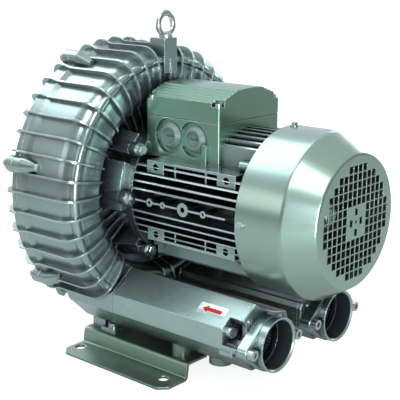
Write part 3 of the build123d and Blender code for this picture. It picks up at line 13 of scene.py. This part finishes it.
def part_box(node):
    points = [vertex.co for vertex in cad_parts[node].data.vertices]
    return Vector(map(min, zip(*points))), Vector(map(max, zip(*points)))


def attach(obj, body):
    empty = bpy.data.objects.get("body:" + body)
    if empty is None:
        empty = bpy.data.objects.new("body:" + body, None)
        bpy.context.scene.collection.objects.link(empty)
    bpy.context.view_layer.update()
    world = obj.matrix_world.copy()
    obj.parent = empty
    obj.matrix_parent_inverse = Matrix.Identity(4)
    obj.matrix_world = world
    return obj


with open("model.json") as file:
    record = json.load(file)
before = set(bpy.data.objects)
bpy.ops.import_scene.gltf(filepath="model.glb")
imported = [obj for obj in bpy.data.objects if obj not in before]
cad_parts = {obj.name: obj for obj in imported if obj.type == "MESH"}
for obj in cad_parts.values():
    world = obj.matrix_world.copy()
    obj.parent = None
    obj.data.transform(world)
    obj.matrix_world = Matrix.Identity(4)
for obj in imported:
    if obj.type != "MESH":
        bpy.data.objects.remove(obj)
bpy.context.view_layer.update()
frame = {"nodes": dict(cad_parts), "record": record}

MM = 0.001

# ------------------------------------------------------------ places read from the frame
tube_low, tube_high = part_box("outlet_liner")
tube_centre = (tube_low + tube_high) / 2
tube_r = (tube_high.z - tube_low.z) / 2
hole_pitch = 4.5 * MM                      # of the tube's 3 mm holes

# ------------------------------------------------------------ camera and studio
camera_target = Vector((-0.0041, -0.0513, 0.2151))
camera_distance = 1.2746
camera_azimuth = math.radians(-49.15)      # from in front of the ports, towards the inlet side
camera_elevation = math.radians(14.21)
camera_roll = math.radians(0.26)
camera_lens = 86.95                        # mm
camera_sensor = 36.0                       # mm wide
lamp_aim = Vector((0, -0.05, 0.22))        # the middle of the blower
floor_size = 60.0
floor_fill = 0.84                          # what the floor adds to its own light, as white is 1
floor_shine = 0.1                          # share of that which shows in polished metal
backdrop_side = (0.35, 0.88, 0.32)         # from the blower to the white backdrop
backdrop_level = 0.85
room_dim = 0.13                            # level of the walls at the horizon, as white is 1
room_top = 0.85                            # and overhead


# ------------------------------------------------------------ shared helpers
def colour(hex_code):
    """An sRGB hex colour as linear RGBA, which is what shader sockets take."""
    values = [int(hex_code[i:i + 2], 16) / 255 for i in (1, 3, 5)]
    linear = [v / 12.92 if v <= 0.04045 else ((v + 0.055) / 1.055) ** 2.4 for v in values]
    return (*linear, 1.0)


def add(tree, kind, settings=None, links=None):
    """Adds one node. Settings name its properties or its input sockets, links its input sockets."""
    made = tree.nodes.new(kind)
    for name, value in (settings or {}).items():
        if isinstance(name, str) and hasattr(made, name):
            setattr(made, name, value)
        else:
            made.inputs[name].default_value = value
    for name, source in (links or {}).items():
        tree.links.new(source, made.inputs[name])
    return made


def new_material(name):
    """An empty node material and its tree."""
    made = bpy.data.materials.new(name)
    made.use_nodes = True
    made.node_tree.nodes.clear()
    return made, made.node_tree


def finish_material(made, tree, shader):
    """Joins a shader to the material's surface."""
    add(tree, "ShaderNodeOutputMaterial", {}, {"Surface": shader.outputs[0]})
    return made


def ramp(tree, source, low, high, low_value=0.0, high_value=1.0):
    """Maps a value from low..high to low_value..high_value, clamped at both ends."""
    return add(tree, "ShaderNodeMapRange",
               {"From Min": low, "From Max": high, "To Min": low_value, "To Max": high_value},
               {"Value": source}).outputs[0]


def blend_colours(tree, share, first, second, mode="MIX"):
    """Mixes two colours, each a hex code or a socket, by a share that is a number or a socket."""
    mix = add(tree, "ShaderNodeMix", {"data_type": "RGBA", "blend_type": mode})
    for socket, value in ((mix.inputs[0], share), (mix.inputs[6], first), (mix.inputs[7], second)):
        if isinstance(value, str):
            socket.default_value = colour(value)
        elif isinstance(value, (int, float)):
            socket.default_value = value
        else:
            tree.links.new(value, socket)
    return mix.outputs[2]


# ------------------------------------------------------------ finishes
root_reach = 14 * MM                       # how near a wall the painted shade at the root of a rib reaches
gap_reach = 90 * MM                        # how near a wall the painted shade in a narrow gap reaches


def painted_casting(name, paint, shade, grain=0.9, gloss=0.26, flake=0.88,
                    root_shade=0.6, gap_shade=0.15, shelter=0.75, edge_wear_and_highlight=1.2):
    """Die-cast aluminium under one coat of aluminium-flake paint.

    The eye sees a satin metallic grey-green with a faint orange peel, sharp corners lightened,
    partly worn and partly a painted highlight, and painted shade that blackens the roots of the
    ribs and the depths of narrow gaps."""
    made, tree = new_material(name)
    place = add(tree, "ShaderNodeTexCoord").outputs["Object"]
    cloud = add(tree, "ShaderNodeTexNoise", {"Scale": 9.0, "Detail": 3.0}, {"Vector": place})
    peel = add(tree, "ShaderNodeTexNoise", {"Scale": 1 / (grain * 2 * MM), "Detail": 2.0},
               {"Vector": place})
    flakes = add(tree, "ShaderNodeTexNoise", {"Scale": 1 / (0.5 * MM), "Detail": 1.0},
                 {"Vector": place})
    near = add(tree, "ShaderNodeAmbientOcclusion", {"samples": 4, "Distance": root_reach})
    wide = add(tree, "ShaderNodeAmbientOcclusion", {"samples": 4, "Distance": gap_reach})
    edge = add(tree, "ShaderNodeAmbientOcclusion",
               {"samples": 4, "inside": True, "Distance": edge_wear_and_highlight * MM})
    tone = blend_colours(tree, ramp(tree, cloud.outputs["Fac"], 0.2, 0.8), shade, paint)
    speck = ramp(tree, flakes.outputs["Fac"], 0.3, 0.7, 0.97, 1.02)
    tone = blend_colours(tree, 1.0, tone, speck, "MULTIPLY")
    # painted shade: the paint colour darkens near walls, at the roots of the ribs and fins
    painted_root_shade = ramp(tree, near.outputs["AO"], 0.25, 0.8, root_shade, 1.0)
    tone = blend_colours(tree, 1.0, tone, painted_root_shade, "MULTIPLY")
    # painted shade: the paint colour darkens further deep in narrow gaps
    painted_gap_shade = ramp(tree, wide.outputs["AO"], shelter / 4, shelter, gap_shade, 1.0)
    tone = blend_colours(tree, 1.0, tone, painted_gap_shade, "MULTIPLY")
    # edges lightened towards white: partly paint worn thin, partly a painted highlight
    worn_and_highlit_edge = ramp(tree, edge.outputs["AO"], 0.75, 0.3)
    tone = blend_colours(tree, worn_and_highlit_edge, tone, "#eef4f3")
    rough = ramp(tree, cloud.outputs["Fac"], 0.15, 0.85, gloss - 0.04, gloss + 0.06)
    corner = add(tree, "ShaderNodeBevel", {"samples": 4, "Radius": 0.8 * MM})
    bump = add(tree, "ShaderNodeBump", {"Strength": 0.18, "Distance": 0.1 * MM},
               {"Height": peel.outputs["Fac"], "Normal": corner.outputs[0]})
    shader = add(tree, "ShaderNodeBsdfPrincipled",
                 {"Metallic": flake, "Coat Weight": 0.45, "Coat Roughness": 0.2},
                 {"Base Color": tone, "Roughness": rough, "Normal": bump.outputs[0]})
    return finish_material(made, tree, shader)


def plain_metal(name, tint, gloss, grain=0.3, bump_depth=0.02):
    """Bare metal, plated or turned: one tint with fine streaks of brighter and duller polish."""
    made, tree = new_material(name)
    place = add(tree, "ShaderNodeTexCoord").outputs["Object"]
    streak = add(tree, "ShaderNodeTexNoise", {"Scale": 1 / (grain * 4 * MM), "Detail": 3.0},
                 {"Vector": place})
    corner = add(tree, "ShaderNodeBevel", {"samples": 4, "Radius": 0.4 * MM})
    bump = add(tree, "ShaderNodeBump", {"Strength": 0.15, "Distance": bump_depth * MM},
               {"Height": streak.outputs["Fac"], "Normal": corner.outputs[0]})
    rough = ramp(tree, streak.outputs["Fac"], 0.3, 0.7, gloss - 0.05, gloss + 0.07)
    shader = add(tree, "ShaderNodeBsdfPrincipled", {"Metallic": 1.0, "Base Color": colour(tint)},
                 {"Roughness": rough, "Normal": bump.outputs[0]})
    return finish_material(made, tree, shader)


def moulded_plastic(name, tint, gloss=0.5, grain=0.4):
    """Moulded plastic: one colour with the fine grain of its tool."""
    made, tree = new_material(name)
    place = add(tree, "ShaderNodeTexCoord").outputs["Object"]
    leather = add(tree, "ShaderNodeTexVoronoi", {"Scale": 1 / (grain * MM)}, {"Vector": place})
    corner = add(tree, "ShaderNodeBevel", {"samples": 4, "Radius": 0.5 * MM})
    bump = add(tree, "ShaderNodeBump", {"Strength": 0.1, "Distance": 0.05 * MM},
               {"Height": leather.outputs["Distance"], "Normal": corner.outputs[0]})
    rough = ramp(tree, leather.outputs["Distance"], 0.0, 1.0, gloss - 0.05, gloss + 0.08)
    shader = add(tree, "ShaderNodeBsdfPrincipled", {"Base Color": colour(tint)},
                 {"Roughness": rough, "Normal": bump.outputs[0]})
    return finish_material(made, tree, shader)


def perforated_tube(name, tint):
    """Rolled perforated steel sheet: dull metal with rows of round holes, drawn as near-black spots
    of painted shade.
    """
    made, tree = new_material(name)
    place = add(tree, "ShaderNodeTexCoord").outputs["Object"]
    split = add(tree, "ShaderNodeSeparateXYZ", {}, {"Vector": place})
    across = add(tree, "ShaderNodeMath", {"operation": "ABSOLUTE"}, {0: split.outputs["X"]})
    across = add(tree, "ShaderNodeMath", {"operation": "SUBTRACT", 1: tube_centre.x},
                 {0: across.outputs[0]})
    rise = add(tree, "ShaderNodeMath", {"operation": "SUBTRACT", 1: tube_centre.z},
               {0: split.outputs["Z"]})
    turn = add(tree, "ShaderNodeMath", {"operation": "ARCTAN2"},
               {0: rise.outputs[0], 1: across.outputs[0]})
    holes_round = round(2 * math.pi * tube_r / hole_pitch)
    column = add(tree, "ShaderNodeMath", {"operation": "MULTIPLY", 1: holes_round / (2 * math.pi)},
                 {0: turn.outputs[0]})
    row = add(tree, "ShaderNodeMath", {"operation": "DIVIDE", 1: hole_pitch},
              {0: split.outputs["Y"]})
    grid = add(tree, "ShaderNodeCombineXYZ", {}, {"X": column.outputs[0], "Y": row.outputs[0]})
    cells = add(tree, "ShaderNodeTexVoronoi",
                {"voronoi_dimensions": "2D", "Scale": 1.0, "Randomness": 0.0},
                {"Vector": grid.outputs[0]})
    metal = ramp(tree, cells.outputs["Distance"], 0.3, 0.36)
    # the holes are drawn in colour: near-black, a painted shade for the dark inside of each hole
    tone = blend_colours(tree, metal, "#050606", tint)
    bump = add(tree, "ShaderNodeBump", {"Strength": 0.6, "Distance": 0.5 * MM}, {"Height": metal})
    shader = add(tree, "ShaderNodeBsdfPrincipled", {"Roughness": 0.4},
                 {"Base Color": tone, "Metallic": metal, "Normal": bump.outputs[0]})
    return finish_material(made, tree, shader)


def printed_film(name, ink, gloss=0.3):
    """Printed self-adhesive film: flat matt ink with a slight ripple, smoother than the paint."""
    made, tree = new_material(name)
    place = add(tree, "ShaderNodeTexCoord").outputs["Object"]
    ripple = add(tree, "ShaderNodeTexNoise", {"Scale": 1 / (6 * MM), "Detail": 2.0},
                 {"Vector": place})
    tone = blend_colours(tree, ramp(tree, ripple.outputs["Fac"], 0.3, 0.7, 0.94, 1.0),
                         "#000000", ink)
    bump = add(tree, "ShaderNodeBump", {"Strength": 0.1, "Distance": 0.05 * MM},
               {"Height": ripple.outputs["Fac"]})
    shader = add(tree, "ShaderNodeBsdfPrincipled",
                 {"Roughness": gloss}, {"Base Color": tone, "Normal": bump.outputs[0]})
    return finish_material(made, tree, shader)


# In each finish the two darkening levels set the painted shade at rib roots and in narrow gaps, and
# the edge width sets the lightened edges, partly wear and partly painted highlight.
finishes = {
    "casing": painted_casting("painted_die_cast_casing", "#a6b8b5", "#95a9a4", gloss=0.24,
                              root_shade=0.32, gap_shade=0.06, shelter=0.5, edge_wear_and_highlight=2.2),
    "motor_cast": painted_casting("painted_die_cast_motor", "#a5bab8", "#98aeab",
                                  root_shade=0.06, gap_shade=0.05, shelter=0.9, edge_wear_and_highlight=2.0),
    "box_cast": painted_casting("painted_die_cast_box", "#83a594", "#789c8a", gloss=0.3,
                                shelter=0.5, edge_wear_and_highlight=1.8),
    "cover_sheet": painted_casting("painted_steel_cover", "#a2b9b0", "#98b1a5", 1.4, 0.25,
                                   shelter=0.5, edge_wear_and_highlight=0.6),
    "silencer_cast": painted_casting("painted_die_cast_silencer", "#a4bab3", "#98b0a8",
                                     flake=0.75, gap_shade=0.04, shelter=0.9),
    "flange_cast": painted_casting("painted_die_cast_flange", "#aabfbb", "#9db3ad"),
    "foot_plate": painted_casting("painted_steel_foot", "#93ad9f", "#88a394", gloss=0.3,
                                  shelter=0.5),
    "zinc_steel": plain_metal("zinc_plated_steel", "#c4c9ca", 0.28),
    "bright_steel": plain_metal("ground_steel", "#b9bcbe", 0.24),
    "core_steel": plain_metal("laminated_steel", "#6d6f70", 0.45),
    "copper": plain_metal("enamelled_copper", "#b8734a", 0.35),
    "brass": plain_metal("turned_brass", "#c8a25c", 0.28),
    "impeller_cast": plain_metal("bare_cast_aluminium", "#b4b8ba", 0.42, 0.6, 0.06),
    "rubber": moulded_plastic("moulded_rubber", "#161717", 0.7),
    "plastic_dark": moulded_plastic("moulded_fan_plastic", "#141617", 0.45),
    "plug_plastic": moulded_plastic("moulded_plug_plastic", "#647c77", 0.38),
    "foam": moulded_plastic("acoustic_foam", "#232424", 0.95, 1.5),
    "perforated_steel": perforated_tube("perforated_steel_tube", "#8b9392"),
}

for row in frame["record"]["subparts"]:
    shown = frame["nodes"][row["node"]]
    shown.data.materials.clear()
    shown.data.materials.append(finishes[row["material_slot"]])


# ------------------------------------------------------------ flow sign on the inlet silencer
facet_top = Vector((-0.0792, 0, 0.1289))   # the sloping facet runs from here ...
facet_foot = Vector((-0.117, 0, 0.1023))   # ... down to here, at every y
sign_y = -0.1550
sign_down = 26.3 * MM
film_long, film_wide = 42 * MM, 16 * MM
arrow_long, arrow_wide, shaft_wide, head_long = 30 * MM, 11 * MM, 5.4 * MM, 8.5 * MM


def facet_sheet(name, outline, lift, thick, finish):
    """A thin sheet stuck on the facet, from an outline of (along, down) points round its middle."""
    down = (facet_foot - facet_top).normalized()
    out = Vector((0, 1, 0)).cross(down)
    middle = facet_top + down * sign_down + Vector((0, sign_y, 0))
    shape = bmesh.new()
    ring = [shape.verts.new(middle + Vector((0, along, 0)) + down * across + out * lift)
            for along, across in outline]
    face = shape.faces.new(ring)
    face.normal_update()
    if face.normal.dot(out) < 0:
        face.normal_flip()
    raised = bmesh.ops.extrude_face_region(shape, geom=[face])
    for part in raised["geom"]:
        if isinstance(part, bmesh.types.BMVert):
            part.co += out * thick
    bmesh.ops.recalc_face_normals(shape, faces=shape.faces)
    mesh = bpy.data.meshes.new(name)
    shape.to_mesh(mesh)
    shape.free()
    mesh.materials.append(finish)
    made = bpy.data.objects.new(name, mesh)
    bpy.context.scene.collection.objects.link(made)
    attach(made, "blower")
    return made


def rounded_rectangle(long, wide, corner, steps=5):
    """Outline of a rectangle about its middle, each corner an arc of so many steps."""
    points = []
    for turn, (side, edge) in enumerate(((1, 1), (-1, 1), (-1, -1), (1, -1))):
        for step in range(steps + 1):
            angle = math.pi / 2 * (turn + step / steps)
            points.append((side * (long / 2 - corner) + corner * math.cos(angle),
                           edge * (wide / 2 - corner) + corner * math.sin(angle)))
    return points


def arrow_outline(margin):
    """An arrow that points back along the duct, towards +Y, grown by a margin on every side."""
    tip, tail = arrow_long / 2 + margin * 1.6, -arrow_long / 2 - margin
    neck = arrow_long / 2 - head_long - margin * 0.6
    head, shaft = arrow_wide / 2 + margin * 1.6, shaft_wide / 2 + margin
    return [(tip, 0), (neck, head), (neck, shaft), (tail, shaft), (tail, -shaft),
            (neck, -shaft), (neck, -head)]


facet_sheet("flow_sign_film", rounded_rectangle(film_long, film_wide, 2 * MM), 0.02 * MM,
            0.12 * MM, printed_film("clear_polyester_film", "#a3b6b8", 0.5))
facet_sheet("flow_sign_border", arrow_outline(0.7 * MM), 0.1 * MM, 0.1 * MM,
            printed_film("printed_white_film", "#e6e6e2", 0.5))
facet_sheet("flow_sign_arrow", arrow_outline(0.0), 0.16 * MM, 0.1 * MM,
            printed_film("printed_red_film", "#b81408", 0.55))


# ------------------------------------------------------------ studio
def backdrop_share(tree, direction):
    """How much of the white backdrop a direction shows: all behind the blower, none before it."""
    facing_back = add(tree, "ShaderNodeVectorMath", {"operation": "DOT_PRODUCT", 1: backdrop_side},
                      {0: direction})
    return ramp(tree, facing_back.outputs["Value"], 0.25, 0.85)


def studio_floor():
    """A pale seamless floor under the blower, white where nothing shades it."""
    made, tree = new_material("studio_floor")
    shader = add(tree, "ShaderNodeBsdfPrincipled",
                 {"Base Color": colour("#aab0ad"), "Roughness": 0.9})
    seen = add(tree, "ShaderNodeLightPath")
    share = add(tree, "ShaderNodeMath", {"operation": "MULTIPLY_ADD", 1: floor_shine},
                {0: seen.outputs["Is Glossy Ray"], 2: seen.outputs["Is Camera Ray"]})
    lit = add(tree, "ShaderNodeMath", {"operation": "MULTIPLY", 1: floor_fill},
              {0: share.outputs[0]})
    glow = add(tree, "ShaderNodeEmission", {"Color": colour("#ffffff")},
               {"Strength": lit.outputs[0]})
    both = add(tree, "ShaderNodeAddShader", {}, {0: shader.outputs[0], 1: glow.outputs[0]})
    finish_material(made, tree, both)
    mesh = bpy.data.meshes.new("floor")
    half = floor_size / 2
    corners = [(-half, -half, 0), (half, -half, 0), (half, half, 0), (-half, half, 0)]
    mesh.from_pydata(corners, [], [(0, 1, 2, 3)])
    floor = bpy.data.objects.new("floor", mesh)
    floor.data.materials.append(made)
    bpy.context.scene.collection.objects.link(floor)


def studio_world():
    """White for the camera; for the rest a room with a white backdrop and dim walls in front."""
    world = bpy.data.worlds.new("studio")
    bpy.context.scene.world = world
    world.use_nodes = True
    tree = world.node_tree
    tree.nodes.clear()
    direction = add(tree, "ShaderNodeTexCoord").outputs["Generated"]
    share = backdrop_share(tree, direction)
    split = add(tree, "ShaderNodeSeparateXYZ", {}, {"Vector": direction})
    ceiling = ramp(tree, split.outputs["Z"], 0.0, 0.9, room_dim, room_top)
    walls = blend_colours(tree, share, "#dfe9e6", "#f4f8ff")
    level = add(tree, "ShaderNodeMix", {"data_type": "FLOAT"}, {0: share, 2: ceiling})
    level.inputs[3].default_value = backdrop_level
    room = add(tree, "ShaderNodeBackground", {}, {"Color": walls, "Strength": level.outputs[0]})
    white = add(tree, "ShaderNodeBackground", {"Color": colour("#ffffff"), "Strength": 1.0})
    seen = add(tree, "ShaderNodeLightPath")
    both = add(tree, "ShaderNodeMixShader", {},
               {0: seen.outputs["Is Camera Ray"], 1: room.outputs[0], 2: white.outputs[0]})
    add(tree, "ShaderNodeOutputWorld", {}, {"Surface": both.outputs[0]})


def soft_lamp(name, place, width, height, power, tint="#ffffff"):
    """A soft box at a place, aimed at the middle of the blower."""
    lamp = bpy.data.lights.new(name, "AREA")
    lamp.shape = "RECTANGLE"
    lamp.size = width
    lamp.size_y = height
    lamp.energy = power
    lamp.color = colour(tint)[:3]
    made = bpy.data.objects.new(name, lamp)
    made.location = place
    aim = lamp_aim - Vector(place)
    made.rotation_euler = aim.to_track_quat("-Z", "Y").to_euler()
    bpy.context.scene.collection.objects.link(made)


def studio_camera():
    """The camera, at its distance from the target and turned to look at it."""
    camera = bpy.data.cameras.new("camera")
    camera.lens = camera_lens
    camera.sensor_width = camera_sensor
    camera.clip_end = 100.0
    made = bpy.data.objects.new("camera", camera)
    level = math.cos(camera_elevation)
    back = Vector((math.sin(camera_azimuth) * level, -math.cos(camera_azimuth) * level,
                   math.sin(camera_elevation)))
    made.location = camera_target + back * camera_distance
    turn = back.to_track_quat("Z", "Y").to_matrix() @ Matrix.Rotation(camera_roll, 3, "Z")
    made.rotation_euler = turn.to_euler()
    bpy.context.scene.collection.objects.link(made)
    bpy.context.scene.camera = made


studio_floor()
studio_world()
soft_lamp("key_lamp", (-0.9, -0.75, 1.7), 0.8, 0.8, 14.0)
soft_lamp("front_lamp", (-0.9, -1.15, 0.36), 0.4, 0.7, 13.0, "#f2f8ff")
soft_lamp("side_lamp", (-1.9, 0.9, 0.9), 1.2, 0.8, 4.0)
soft_lamp("top_lamp", (-0.1, 0.95, 1.8), 1.6, 1.4, 20.0, "#e8f2ff")
soft_lamp("right_lamp", (1.9, 0.1, 0.7), 1.4, 1.0, 12.0)
soft_lamp("rear_lamp", (0.3, 2.0, 0.6), 1.4, 1.0, 12.0)
studio_camera()
bpy.context.scene.view_settings.view_transform = "Standard"
